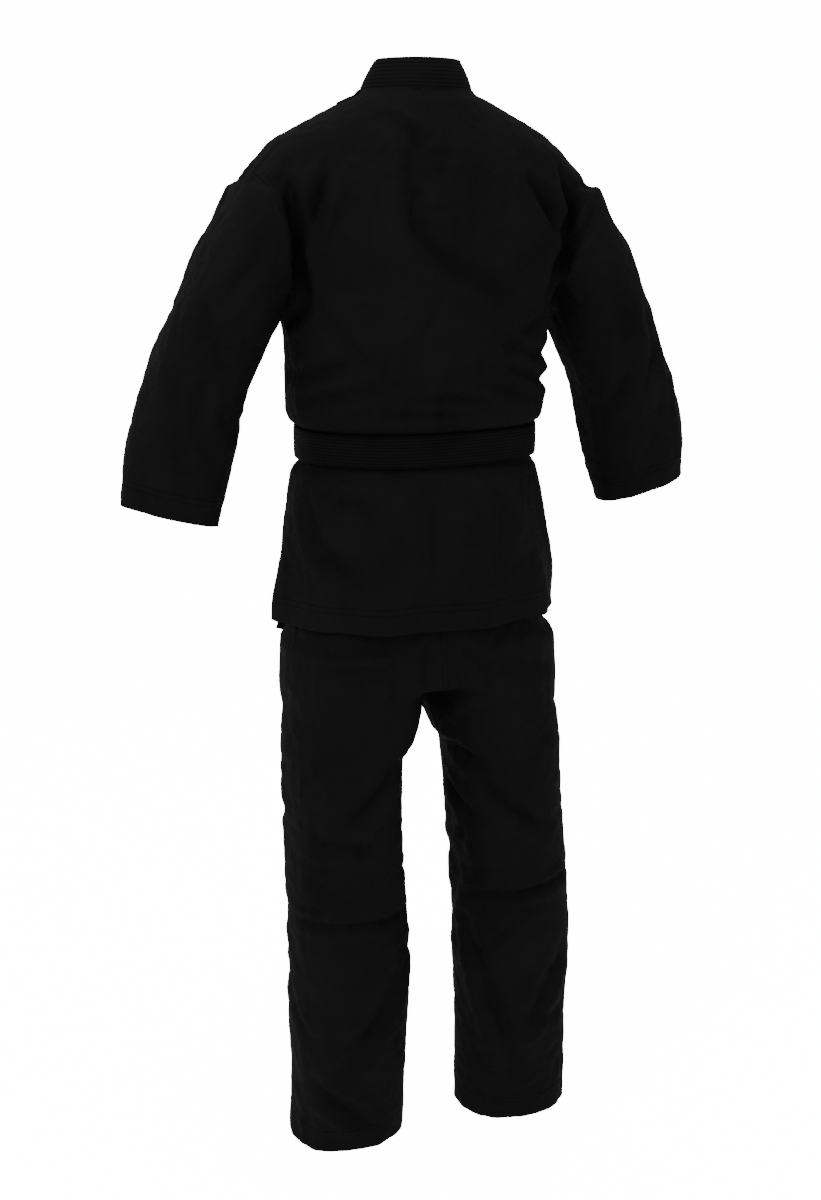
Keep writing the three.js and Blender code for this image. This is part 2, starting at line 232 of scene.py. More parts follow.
@dataclass(frozen=True)
class Cotton:
    """A finish of dyed black cotton: drill cloth, or the stitched bands made from it."""

    name: str
    dye: tuple[float, float, float] = (0.0032, 0.0032, 0.0033)
    faded: tuple[float, float, float] = (0.0047, 0.0047, 0.0049)
    roughness: float = 0.88
    sheen: float = 0.003
    threads: float = 4200.0
    weave_depth: float = 0.00025
    rows: float = 0.0

    def material(self, effects: Effects) -> bpy.types.Material:
        """Build the finish as a material.

        Args:
            effects: The shared node groups.

        Returns:
            The new material.
        """
        made = bpy.data.materials.new(self.name)
        made.use_nodes = True
        tree = made.node_tree
        shader = tree.nodes["Principled BSDF"]
        shader.inputs["Roughness"].default_value = self.roughness
        shader.inputs["Specular IOR Level"].default_value = 0.02
        shader.inputs["Sheen Weight"].default_value = self.sheen
        shader.inputs["Sheen Roughness"].default_value = 0.45
        place = tree.nodes.new("ShaderNodeTexCoord")
        wear = tree.nodes.new("ShaderNodeTexNoise")
        wear.inputs["Scale"].default_value = 9.0
        wear.inputs["Detail"].default_value = 6.0
        wear.inputs["Roughness"].default_value = 0.62
        tree.links.new(place.outputs["Object"], wear.inputs["Vector"])
        ramp = tree.nodes.new("ShaderNodeValToRGB")
        ramp.color_ramp.elements[0].position = 0.32
        ramp.color_ramp.elements[1].position = 0.72
        ramp.color_ramp.elements[0].color = (*self.dye, 1)
        ramp.color_ramp.elements[1].color = (*self.faded, 1)
        tree.links.new(wear.outputs["Fac"], ramp.inputs["Fac"])
        weave = tree.nodes.new("ShaderNodeGroup")
        weave.node_tree = effects.weave
        weave.inputs["Threads"].default_value = self.threads
        lines = tree.nodes.new("ShaderNodeGroup")
        if self.rows:
            lines.node_tree = effects.rows
            lines.inputs["Rows"].default_value = self.rows
        else:
            lines.node_tree = effects.seam
        fine = tree.nodes.new("ShaderNodeBump")
        fine.inputs["Strength"].default_value = 0.5
        fine.inputs["Distance"].default_value = self.weave_depth
        tree.links.new(weave.outputs["Height"], fine.inputs["Height"])
        raised = tree.nodes.new("ShaderNodeBump")
        raised.inputs["Strength"].default_value = 0.9
        raised.inputs["Distance"].default_value = 0.0012
        raised.invert = bool(self.rows)
        socket = "Line" if self.rows else "Height"
        tree.links.new(lines.outputs[socket], raised.inputs["Height"])
        tree.links.new(fine.outputs["Normal"], raised.inputs["Normal"])
        tree.links.new(raised.outputs["Normal"], shader.inputs["Normal"])
        thread = tree.nodes.new("ShaderNodeMix")
        thread.data_type = "RGBA"
        thread.inputs["B"].default_value = (0.0011, 0.0011, 0.0012, 1)
        tree.links.new(lines.outputs["Line"], thread.inputs["Factor"])
        tree.links.new(ramp.outputs["Color"], thread.inputs["A"])
        tree.links.new(thread.outputs["Result"], shader.inputs["Base Color"])
        return made


# ---------------------------------------------------------------- mesh helpers


@dataclass(frozen=True)
class Ring:
    """One level oval: its height, middle and half sizes."""

    z: float
    x: float
    y: float
    width: float
    depth: float


def vertex_array(mesh: bpy.types.Mesh) -> np.ndarray:
    """Give a mesh's vertex places as an array of rows."""
    flat = np.zeros(len(mesh.vertices) * 3, np.float32)
    mesh.vertices.foreach_get("co", flat)
    return flat.reshape(-1, 3).astype(float)


def set_vertices(mesh: bpy.types.Mesh, points: np.ndarray) -> None:
    """Put a mesh's vertices at new places."""
    mesh.vertices.foreach_set("co", points.astype(np.float32).ravel())
    mesh.update()


def normal_array(mesh: bpy.types.Mesh) -> np.ndarray:
    """Give a mesh's vertex normals as an array of rows."""
    return np.array([v.normal[:] for v in mesh.vertices])


def closed_loft(rings: list[Ring], segments: int = 72, squareness: float = 2.4) -> tuple[list, list]:
    """Make a closed form through ovals listed from the top down.

    Args:
        rings: The ovals.
        segments: Points round each oval.
        squareness: The ovals' exponent, 2 for an ellipse.

    Returns:
        Its vertices and faces.
    """
    turn = np.linspace(0, 2 * math.pi, segments, endpoint=False)
    power = 2 / squareness
    across = np.sign(np.cos(turn)) * np.abs(np.cos(turn)) ** power
    deep = np.sign(np.sin(turn)) * np.abs(np.sin(turn)) ** power
    points, faces = [], []
    for ring in rings:
        for c, s in zip(across, deep):
            points.append((ring.x + ring.width * c, ring.y + ring.depth * s, ring.z))
    for row in range(len(rings) - 1):
        for k in range(segments):
            here, there = row * segments + k, row * segments + (k + 1) % segments
            faces.append((here, here + segments, there + segments, there))
    last = (len(rings) - 1) * segments
    faces.append(tuple(range(segments)))
    faces.append(tuple(last + k for k in reversed(range(segments))))
    return points, faces


def new_object(name: str, points: list, faces: list) -> bpy.types.Object:
    """Make a mesh object and put it in the scene."""
    mesh = bpy.data.meshes.new(name)
    mesh.from_pydata([tuple(p) for p in points], [], faces)
    mesh.update()
    made = bpy.data.objects.new(name, mesh)
    bpy.context.scene.collection.objects.link(made)
    return made


def apply_modifiers(piece: bpy.types.Object) -> None:
    """Make a piece's modifiers part of its mesh."""
    graph = bpy.context.evaluated_depsgraph_get()
    made = bpy.data.meshes.new_from_object(piece.evaluated_get(graph))
    piece.modifiers.clear()
    old, piece.data = piece.data, made
    bpy.data.meshes.remove(old)


def grow_skin(name: str, forms: list[tuple[list, list]], voxel: float, ease: int) -> bpy.types.Object:
    """Melt closed forms into one even skin.

    Args:
        name: The skin's name.
        forms: Closed forms as vertices and faces.
        voxel: The size of the skin's faces.
        ease: How many rounds of smoothing it gets.

    Returns:
        The skin's object.
    """
    points, faces = [], []
    for form_points, form_faces in forms:
        start = len(points)
        points += form_points
        faces += [tuple(i + start for i in face) for face in form_faces]
    skin = new_object(name, points, faces)
    melt = skin.modifiers.new("melt", "REMESH")
    melt.mode = "VOXEL"
    melt.voxel_size = voxel
    smooth = skin.modifiers.new("ease", "SMOOTH")
    smooth.iterations = ease
    apply_modifiers(skin)
    return skin


def part_of(name: str, source: bpy.types.Mesh, keep: np.ndarray) -> bpy.types.Object:
    """Make a piece from some of a mesh's faces.

    Args:
        name: The piece's name.
        source: The mesh to take from.
        keep: True for each face that the piece has.

    Returns:
        The new piece.
    """
    points = vertex_array(source)
    chosen = [tuple(face.vertices) for face, kept in zip(source.polygons, keep) if kept]
    used = sorted({i for face in chosen for i in face})
    place = {old: new for new, old in enumerate(used)}
    faces = [tuple(place[i] for i in face) for face in chosen]
    piece = new_object(name, points[used], faces)
    keep_largest(piece.data)
    return piece


def keep_largest(mesh: bpy.types.Mesh) -> None:
    """Delete the small loose offcuts of a mesh."""
    work = bmesh.new()
    work.from_mesh(mesh)
    left = set(work.verts)
    islands = []
    while left:
        stack = [left.pop()]
        island = set(stack)
        while stack:
            for edge in stack.pop().link_edges:
                for vert in edge.verts:
                    if vert not in island:
                        island.add(vert)
                        stack.append(vert)
        left -= island
        islands.append(island)
    islands.sort(key=len)
    for island in islands[:-1]:
        bmesh.ops.delete(work, geom=list(island), context="VERTS")
    work.to_mesh(mesh)
    work.free()
    mesh.update()


def face_middles(mesh: bpy.types.Mesh) -> np.ndarray:
    """Give the middle of each face as an array of rows."""
    flat = np.zeros(len(mesh.polygons) * 3, np.float32)
    mesh.polygons.foreach_get("center", flat)
    return flat.reshape(-1, 3).astype(float)


def store(mesh: bpy.types.Mesh, name: str, values: np.ndarray) -> None:
    """Store one number for each vertex of a mesh."""
    attribute = mesh.attributes.get(name) or mesh.attributes.new(name, "FLOAT", "POINT")
    attribute.data.foreach_set("value", values.astype(np.float32))


def thicken(piece: bpy.types.Object, thickness: float) -> None:
    """Give a cloth piece its thickness, inwards, and smooth shading."""
    wall = piece.modifiers.new("wall", "SOLIDIFY")
    wall.thickness = thickness
    wall.offset = -1
    apply_modifiers(piece)
    piece.data.polygons.foreach_set("use_smooth", [True] * len(piece.data.polygons))
    piece.data.update()


def smooth_curve(points: list[tuple], steps: int) -> np.ndarray:
    """Run a smooth curve through points.

    Args:
        points: The points to pass through.
        steps: Steps between one point and the next.

    Returns:
        The curve's points as an array of rows.
    """
    given = np.array(points, float)
    padded = np.vstack([2 * given[0] - given[1], given, 2 * given[-1] - given[-2]])
    made = []
    for i in range(len(given) - 1):
        a, b, c, d = padded[i : i + 4]
        square = 2 * a - 5 * b + 4 * c - d
        cube = 3 * b - a - 3 * c + d
        for t in np.linspace(0, 1, steps, endpoint=False):
            made.append(0.5 * (2 * b + (c - a) * t + square * t**2 + cube * t**3))
    made.append(given[-1])
    return np.array(made)


# ---------------------------------------------------------------- folds


@dataclass(frozen=True)
class Fold:
    """A fold in the cloth along a line: a valley where the depth is positive, or else a ridge."""

    points: tuple[tuple[float, float, float], ...]
    depth: float
    width: float

    def laid_on(self, tree: BVHTree) -> Fold:
        """Give the same fold as a smooth line that lies on a surface."""
        line = smooth_curve(list(self.points), 6) * MM
        found = [tree.find_nearest(Vector(p))[0] for p in line]
        return Fold(tuple(tuple(p / MM) for p in found), self.depth, self.width)

    def push(self, places: np.ndarray) -> np.ndarray:
        """Work out how far the fold moves each place along its normal.

        Args:
            places: Places in the frame, in metres.

        Returns:
            The outward move of each place, in metres.
        """
        line = np.array(self.points) * MM
        low = line.min(0) - 6 * self.width * MM
        high = line.max(0) + 6 * self.width * MM
        near = ((places > low) & (places < high)).all(1)
        moved = np.zeros(len(places))
        some = places[near]
        if not len(some):
            return moved
        lengths = np.linalg.norm(np.diff(line, axis=0), axis=1)
        total = lengths.sum()
        gap = np.full(len(some), 1.0)
        along = np.zeros(len(some))
        walked = 0.0
        for a, b, length in zip(line[:-1], line[1:], lengths):
            share = np.clip((some - a) @ (b - a) / length**2, 0, 1)
            away = np.linalg.norm(some - a - share[:, None] * (b - a), axis=1)
            nearer = away < gap
            gap[nearer] = away[nearer]
            along[nearer] = (walked + share[nearer] * length) / total
            walked += length
        taper = np.sin(np.pi * np.clip(along * 0.9 + 0.05, 0, 1)) ** 0.6
        reach = gap / (self.width * MM)
        valley = 1.3 * np.exp(-(reach**1.45)) - 0.55 * np.exp(-((reach - 2.1) ** 2))
        moved[near] = -self.depth * MM * valley * taper
        return moved


def ruffle(places: np.ndarray, height: float, length: float, seed: float, stretch: tuple) -> np.ndarray:
    """Make soft unevenness.

    Args:
        places: Places in the frame, in metres.
        height: The largest move, in metres.
        length: How long the waves are, in metres.
        seed: An offset that makes one pattern unlike the next.
        stretch: How many times as long the waves are along X, Y and Z.

    Returns:
        The outward move of each place, in metres.
    """
    scaled = places / (length * np.array(stretch)) + seed
    waves = np.array([noise.noise(Vector(p)) for p in scaled])
    fine = np.array([noise.noise(Vector(p * 2.1 + 7)) for p in scaled])
    return height * (waves + 0.4 * fine)


def creases(places: np.ndarray, height: float, length: float, seed: float, stretch: tuple) -> np.ndarray:
    """Make thin, wandering creases.

    Args:
        places: Places in the frame, in metres.
        height: How deep the creases are, in metres.
        length: How far apart they are, in metres.
        seed: An offset that makes one pattern unlike the next.
        stretch: How many times as long they are along X, Y and Z.

    Returns:
        The outward move of each place, in metres.
    """
    scaled = places / (length * np.array(stretch)) + seed
    field_a = np.array([noise.noise(Vector(p)) for p in scaled])
    strength = np.array([noise.noise(Vector(p * 0.7 + 31)) for p in scaled])
    line = np.exp(-((field_a / 0.09) ** 2)) - 0.45 * np.exp(-((np.abs(field_a) - 0.2) ** 2) / 0.008)
    return -height * line * np.clip(strength * 2.2 + 0.45, 0, 1)


def smooth_rings(rings: tuple[Ring, ...], steps: int = 5) -> list[Ring]:
    """Run a smooth curve through ovals' places and sizes."""
    rows = smooth_curve([(r.z, r.x, r.y, r.width, r.depth) for r in rings], steps)
    return [Ring(*row) for row in rows]


def soft_step(values: np.ndarray, low: float, high: float) -> np.ndarray:
    """Rise smoothly from 0 at low to 1 at high."""
    share = np.clip((values - low) / (high - low), 0, 1)
    return share * share * (3 - 2 * share)


@dataclass(frozen=True)
class Plane:
    """A cutting plane, and the box of the mesh that it cuts, in metres."""

    point: tuple[float, float, float]
    normal: tuple[float, float, float]
    low: tuple[float, float, float] = (-9, -9, -9)
    high: tuple[float, float, float] = (9, 9, 9)
    away: CutAway = CutAway.NOTHING


def in_box(face: bmesh.types.BMFace, low: tuple, high: tuple) -> bool:
    """Say whether a face's middle lies in a box."""
    return all(a <= c <= b for a, c, b in zip(low, face.calc_center_bounds(), high))


def cut_all(mesh: bpy.types.Mesh, groups: list[list[Plane]]) -> None:
    """Cut a mesh with planes, one after another.

    Args:
        mesh: The mesh to cut.
        groups: The cuts, those near one another together; ABOVE takes off the side that the normal points to.
    """
    work = bmesh.new()
    work.from_mesh(mesh)
    for group in groups:
        low = tuple(min(plane.low[k] for plane in group) for k in range(3))
        high = tuple(max(plane.high[k] for plane in group) for k in range(3))
        near = {face for face in work.faces if in_box(face, low, high)}
        for plane in group:
            faces = [face for face in near if face.is_valid and in_box(face, plane.low, plane.high)]
            verts = {v for f in faces for v in f.verts}
            edges = {e for f in faces for e in f.edges}
            result = bmesh.ops.bisect_plane(
                work,
                geom=[*verts, *edges, *faces],
                dist=0.0004,
                plane_co=plane.point,
                plane_no=plane.normal,
                clear_outer=plane.away is CutAway.ABOVE,
            )
            near |= {item for item in result["geom"] if isinstance(item, bmesh.types.BMFace)}
    work.to_mesh(mesh)
    work.free()
    mesh.update()


@dataclass(frozen=True)
class Settling:
    """How worn cloth settles: cut a little full, held near the wearer, and pulled down by its weight."""

    frames: int = 14
    fullness: float = 0.014
    hold: float = 0.35
    weight: float = 0.35

    def run(self, skin: bpy.types.Object) -> None:
        """Simulate the cloth and keep the result.

        Args:
            skin: The closed skin that settles.
        """
        group = skin.vertex_groups.new(name="hold")
        group.add(list(range(len(skin.data.vertices))), self.hold, "REPLACE")
        cloth = skin.modifiers.new("cloth", "CLOTH")
        plan = cloth.settings
        plan.quality = 5
        plan.mass = self.weight
        plan.tension_stiffness = 25
        plan.compression_stiffness = 25
        plan.shear_stiffness = 12
        plan.bending_stiffness = 9.0
        plan.shrink_min = -self.fullness
        plan.vertex_group_mass = "hold"
        plan.pin_stiffness = 1.0
        plan.air_damping = 2.5
        cloth.collision_settings.use_collision = False
        cloth.point_cache.frame_start = 1
        cloth.point_cache.frame_end = self.frames
        scene = bpy.context.scene
        for frame in range(1, self.frames + 1):
            scene.frame_set(frame)
        apply_modifiers(skin)
        scene.frame_set(1)


@dataclass(frozen=True)
class Cut:
    """A sheet of cloth's declared flat size, how it is held, and its area if it isn't a rectangle.

    No pattern was worked out. The figures were set close to the finished pieces' own areas, so an area
    share near 1 doesn't show that the cloth is unstretched.
    """

    width: float
    length: float
    held: str = "draped"
    area: float | None = None


def finish_cloth(
    piece: bpy.types.Object,
    made_of: bpy.types.Material,
    cut_size: Cut,
    thickness: float,
    nodes: tuple[str, ...] = (),
) -> bpy.types.Object:
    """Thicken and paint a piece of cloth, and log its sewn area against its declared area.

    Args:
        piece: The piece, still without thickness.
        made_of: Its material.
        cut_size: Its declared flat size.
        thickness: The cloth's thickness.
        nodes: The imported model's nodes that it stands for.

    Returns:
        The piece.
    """
    sewn = sum(face.area for face in piece.data.polygons)
    declared = cut_size.area or cut_size.width * cut_size.length
    LOG.info("%s: %.4f m2 sewn, declared as %.4f m2", piece.name, sewn, declared)
    thicken(piece, thickness)
    piece.data.materials.clear()
    piece.data.materials.append(made_of)
    if nodes:
        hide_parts(*nodes)
    return piece


def sweep(
    name: str,
    path: np.ndarray,
    across: np.ndarray,
    out: np.ndarray,
    width: float,
    closed: bool = False,
    rows: int = 12,
    crown: float = 0.0006,
) -> bpy.types.Object:
    """Make a flat strip along a path.

    Args:
        name: The strip's name.
        path: Its middle line.
        across: The direction across it at each point.
        out: The direction its face looks in at each point.
        width: Its width.
        closed: Whether it joins its own start.
        rows: How many faces it has across.
        crown: How far its middle stands above its edges.

    Returns:
        The strip, with its place across stored as "across".
    """
    places = np.linspace(-0.5, 0.5, rows + 1)
    points = []
    for middle, side, face in zip(path, across, out):
        for place in places:
            points.append(middle + side * place * width + face * crown * (1 - (2 * place) ** 4))
    count, step = len(path), rows + 1
    faces = []
    for i in range(count if closed else count - 1):
        j = (i + 1) % count
        for k in range(rows):
            faces.append((i * step + k, j * step + k, j * step + k + 1, i * step + k + 1))
    strip = new_object(name, points, faces)
    store(strip.data, "across", np.tile(places + 0.5, count))
    return strip


def turn_outwards(piece: bpy.types.Object, out: Vector) -> None:
    """Flip a strip's faces if they look against the given direction on the whole."""
    total = sum((Vector(f.normal) * f.area for f in piece.data.polygons), Vector())
    if total.dot(out) < 0:
        piece.data.flip_normals()


# ---------------------------------------------------------------- the jacket


@dataclass(frozen=True)
class Jacket:
    """The jacket: back, crossed fronts, sleeves, lapel band, collar, lining, gussets and ties."""

    voxel: float = 0.0062
    thickness: float = 0.0018
    layer: float = 0.0034
    neck: float = 0.004
    vent: float = -0.497
    hem: float = -0.664
    armhole: tuple[tuple[float, float], ...] = (
        (0.232, 0.0),
        (0.216, -0.085),
        (0.190, -0.150),
        (0.180, -0.210),
        (0.178, -0.262),
        (0.188, -0.290),
        (0.215, -0.660),
    )
    shoulder: tuple[float, float] = (0.235, -0.175)
    cuff: tuple[float, float] = (0.331, -0.514)
    tilt: float = math.radians(16)
    sleeve_width: float = 0.062
    sleeve_depth: float = 0.090
    lapel: float = 0.045
    belt_top: float = -0.409
    belt_bottom: float = -0.455
    rings: tuple[Ring, ...] = (
        Ring(0.034, 0, 0, 0.066, 0.060),
        Ring(0.004, 0, 0, 0.070, 0.064),
        Ring(-0.0104, 0, 0, 0.097, 0.077),
        Ring(-0.052, 0, 0, 0.176, 0.0996),
        Ring(-0.078, 0, 0, 0.204, 0.110),
        Ring(-0.112, 0, 0, 0.226, 0.116),
        Ring(-0.175, 0, 0, 0.202, 0.120),
        Ring(-0.270, 0, 0, 0.176, 0.120),
        Ring(-0.310, 0, 0, 0.170, 0.120),
        Ring(-0.396, 0, 0, 0.169, 0.119),
        Ring(-0.4094, 0, 0, 0.154, 0.104),
        Ring(-0.4546, 0, 0, 0.154, 0.104),
        Ring(-0.4696, 0, 0, 0.1645, 0.116),
        Ring(-0.512, 0, 0, 0.1725, 0.121),
        Ring(-0.5805, 0, 0, 0.182, 0.127),
        Ring(-0.664, 0, 0, 0.185, 0.130),
        Ring(-0.690, 0, 0, 0.186, 0.131),
    )
    edge: tuple[tuple[float, float], ...] = (
        (0.052, 0.030),
        (0.052, 0.004),
        (0.038, -0.090),
        (0.0, -0.215),
        (-0.060, -0.340),
        (-0.105, -0.432),
        (-0.105, -0.700),
    )
    folds: tuple[Fold, ...] = (
        Fold(
            (
                (35, 100, -55),
                (38, 112, -110),
                (35, 120, -160),
                (5, 120, -200),
                (-60, 115, -235),
                (-100, 105, -255),
            ),
            9,
            11,
        ),
        Fold(((65, 70, -15), (48, 85, -30), (30, 95, -45)), -6, 9),
        Fold(((185, 60, -95), (178, 70, -170), (170, 70, -250), (175, 25, -275)), 13, 9),
        Fold(((140, 95, -95), (152, 92, -130), (160, 85, -170)), 9, 8),
        Fold(((-165, 80, -95), (-180, 70, -170), (-150, 80, -245)), 14, 9),
        Fold(((-115, 105, -105), (-140, 97, -135), (-160, 85, -165)), 11, 8),
        Fold(((-205, 90, -145), (-195, 78, -180), (-180, 60, -215)), 9, 7),
        Fold(((-285, 80, -315), (-272, 62, -365), (-250, 40, -415)), 10, 8),
        Fold(((-240, 85, -240), (-268, 82, -300), (-262, 60, -350)), 8, 9),
        Fold(((-300, 70, -250), (-312, 74, -310), (-300, 60, -370)), 6, 10),
        Fold(((285, 80, -330), (300, 62, -380), (290, 40, -430)), 8, 9),
        Fold(((225, 88, -190), (262, 92, -235), (300, 78, -262)), 6, 10),
        Fold(((300, 70, -235), (282, 80, -290), (262, 62, -330)), 9, 11),
        Fold(((318, 70, -300), (322, 62, -380), (318, 52, -460)), 6, 13),
        Fold(((-318, 66, -320), (-326, 58, -390), (-322, 50, -460)), 6, 13),
        Fold(((-60, 115, -295), (-120, 95, -316), (-172, 20, -322)), 5, 8),
        Fold(((-90, 105, -335), (-150, 70, -352), (-172, 0, -358)), 5.5, 7),
        Fold(((-40, 116, -352), (-95, 108, -364), (-140, 80, -376)), 4, 7),
        Fold(((100, 112, -318), (155, 72, -336), (174, 0, -344)), 5, 8),
        Fold(((60, 115, -350), (120, 100, -362), (165, 45, -372)), 4.5, 7),
        Fold(((-140, 90, -268), (-120, 100, -290), (-85, 112, -318)), 4, 9),
        Fold(((150, 85, -262), (132, 98, -290), (100, 110, -322)), 4, 9),
        Fold(((75, 110, -388), (28, 117, -386), (-20, 120, -390)), 5, 6),
        Fold(((45, 115, -372), (-5, 120, -369), (-55, 115, -375)), 5, 6),
        Fold(((125, 75, -462), (102, 92, -466), (80, 105, -470)), 5, 6),
        Fold(((140, 75, -495), (115, 94, -500), (90, 110, -510)), 6, 8),
        Fold(((160, 45, -495), (155, 70, -545), (130, 95, -580), (105, 110, -610)), 8, 11),
        Fold(((-60, 112, -475), (-80, 110, -520), (-70, 115, -590)), 5, 12),
        Fold(((20, 122, -480), (10, 128, -540), (22, 130, -640)), 4, 14),
    )

    def sleeve_rings(self) -> list[Ring]:
        """List the sleeve's ovals from inside the shoulder to past the cuff."""
        wide, deep = self.sleeve_width, self.sleeve_depth
        cuff_wide, cuff_deep = 0.063, 0.045
        rows = (
            (-0.17, wide * 0.61, deep * 0.9, -0.019),
            (-0.07, wide * 0.75, deep, -0.022),
            (0.0, wide * 0.84, deep * 1.05, -0.020),
            (0.09, wide * 0.92, deep * 1.06, -0.015),
            (0.23, wide * 0.97, deep, -0.009),
            (0.36, wide, deep * 0.9, -0.002),
            (0.52, wide, (2 * deep + cuff_deep) / 3, 0.007),
            (0.69, wide + 0.004, (deep + cuff_deep) / 2, 0.006),
            (0.84, wide + 0.005, (deep + 2 * cuff_deep) / 3, 0.004),
            (1.0, cuff_wide, cuff_deep, 0.0),
            (1.08, cuff_wide, cuff_deep, 0.0),
        )
        x, z = self.shoulder
        end_x, end_z = self.cuff
        return [Ring(z + (end_z - z) * s, x + (end_x - x) * s + bow, 0, w, d) for s, w, d, bow in rows]

    def edge_at(self, z: np.ndarray, inset: float = 0.0) -> np.ndarray:
        """Give how far out a front's free edge lies at each height.

        Args:
            z: The heights.
            inset: How far in from the edge to go instead.

        Returns:
            The distance from the middle at each height, on the front's own side.
        """
        line = np.array(self.edge)[::-1]
        slope = np.interp(z, line[:, 1], np.gradient(line[:, 0], line[:, 1]))
        return np.interp(z, line[:, 1], line[:, 0]) + inset * np.sqrt(1 + slope**2)

    def armhole_at(self, z: np.ndarray) -> np.ndarray:
        """Give how far out the armhole's seam lies at each height."""
        line = np.array(self.armhole)[::-1]
        return np.interp(z, line[:, 1], line[:, 0])

    def arm_part(self, middles: np.ndarray, side: Side) -> np.ndarray:
        """Mark what lies in one sleeve, outside the armhole's seam."""
        return middles[:, 0] * side.value > self.armhole_at(middles[:, 2])

    def armhole_planes(self, side: Side) -> list[Plane]:
        """List the cuts along one armhole's seam.

        Args:
            side: The armhole's side.

        Returns:
            One cut for each stretch of the seam.
        """
        planes = []
        for (x_top, top), (x_low, low) in zip(self.armhole[:-2], self.armhole[1:-1]):
            run, fall = x_low - x_top, low - top
            box = sorted_box(
                ((min(x_top, x_low) - 0.02) * side.value, -1, low - 0.003),
                ((max(x_top, x_low) + 0.02) * side.value, 1, top + 0.003),
            )
            planes.append(Plane((x_top * side.value, 0, top), (-fall * side.value, 0, run), *box))
        return planes

    def edge_planes(self, inset: float) -> list[Plane]:
        """List the cuts along both fronts' free edges, or a line inset from them.

        Args:
            inset: How far in from the edges the cuts lie.

        Returns:
            Two cuts for each stretch of the edge, one on each side.
        """
        planes = []
        for (x_top, top), (x_low, low) in zip(self.edge[:-1], self.edge[1:]):
            run, fall = x_low - x_top, low - top
            size = math.hypot(run, fall)
            for side in Side:
                x = (x_top + inset * size / abs(fall)) * side.value
                box = (-0.2, -1, low - 0.003), (0.2, -0.002, top + 0.003)
                planes.append(Plane((x, 0, top), (-fall * side.value, 0, run), *box))
        return planes

    def skin(self) -> bpy.types.Object:
        """Grow the whole jacket as one closed skin, settle it, and fold it."""
        sleeve = smooth_rings(tuple(self.sleeve_rings()), 4)
        arms = [tilted_loft(sleeve, self.tilt, side) for side in Side]
        skin = grow_skin("jacket_skin", [closed_loft(smooth_rings(self.rings)), *arms], self.voxel, 5)
        Settling().run(skin)
        divide = skin.modifiers.new("fine", "SUBSURF")
        divide.levels = 1
        apply_modifiers(skin)
        places, normals = vertex_array(skin.data), normal_array(skin.data)
        tree = BVHTree.FromPolygons([tuple(p) for p in places], [f.vertices[:] for f in skin.data.polygons])
        move = sum(fold.laid_on(tree).push(places) for fold in self.folds)
        move = move + ruffle(places, 0.0035, 0.085, 3.0, (1, 1, 1.5))
        move = move + creases(places, 0.0032, 0.075, 11.0, (1, 1, 1.7))
        x, z = np.abs(places[:, 0]), places[:, 2]
        arm = soft_step(x, 0.19, 0.23)
        move = move * (1 - 0.45 * arm) + arm * ruffle(places, 0.0035, 0.05, 5.0, (0.7, 0.7, 3.2))
        skirt = soft_step(-z, 0.50, 0.66) * (1 - arm)
        turn = np.arctan2(places[:, 1], places[:, 0])
        move = move + skirt * 0.004 * (np.sin(turn * 7 + 1) + 0.6 * np.sin(turn * 12 + 2.5))
        above = soft_step(z, self.belt_top, self.belt_top + 0.022)
        below = soft_step(-z, -self.belt_bottom, -self.belt_bottom + 0.022)
        belted = np.where(arm > 0, 1, np.clip(above + below, 0, 1))
        high = 1 - 0.75 * soft_step(z, -0.045, -0.005)
        set_vertices(skin.data, places + normals * (move * belted * high)[:, None])
        return skin

    def build(self, cloth: bpy.types.Material, band: bpy.types.Material) -> None:
        """Make the jacket's pieces.

        Args:
            cloth: The material of the panels.
            band: The material of the stitched lapel and collar.
        """
        skin = self.skin()
        low_cuff = [
            Plane(
                (self.cuff[0] * s.value, 0, self.cuff[1]),
                (math.sin(self.tilt) * s.value, 0, -math.cos(self.tilt)),
                *sorted_box((0.20 * s.value, -1, -0.6), (0.5 * s.value, 1, -0.4)),
                away=CutAway.ABOVE,
            )
            for s in Side
        ]
        groups = [
            [Plane((0, 0, self.neck), (0, 0, 1), (-0.12, -1, -0.01), (0.12, 1, 1), CutAway.ABOVE)],
            [Plane((0, 0, self.hem), (0, 0, -1), (-0.22, -1, -0.8), (0.22, 1, -0.6), CutAway.ABOVE)],
            low_cuff,
            [Plane((0, 0, 0), (0, 1, 0), (-0.26, -0.02, -1), (0.26, 0.02, 1))],
            self.edge_planes(0.0),
            self.edge_planes(self.lapel),
            [Plane((0, 0, -0.155), (0, 0, 1), (-1, 0, -0.18), (1, 1, -0.13))],
            [
                Plane((0, 0, -0.464), (0, 0, 1), (-0.19, -1, -0.48), (0.19, 0.0, -0.45)),
                Plane((0, 0, -0.476), (0, 0, 1), (-0.19, -1, -0.49), (0.19, 0.0, -0.46)),
            ],
            *(self.armhole_planes(side) for side in Side),
        ]
        cut_all(skin.data, groups)
        middles = face_middles(skin.data)
        x, y, z = middles.T
        arms = {side: self.arm_part(middles, side) for side in Side}
        body = ~(arms[Side.LEFT] | arms[Side.RIGHT])
        self.sleeves(skin, arms, cloth)
        self.panels(skin, body, x, y, z, cloth)
        self.bands(skin, body, x, y, z, band)
        self.small_pieces(skin, body, x, y, z, cloth)
        bpy.data.objects.remove(skin)

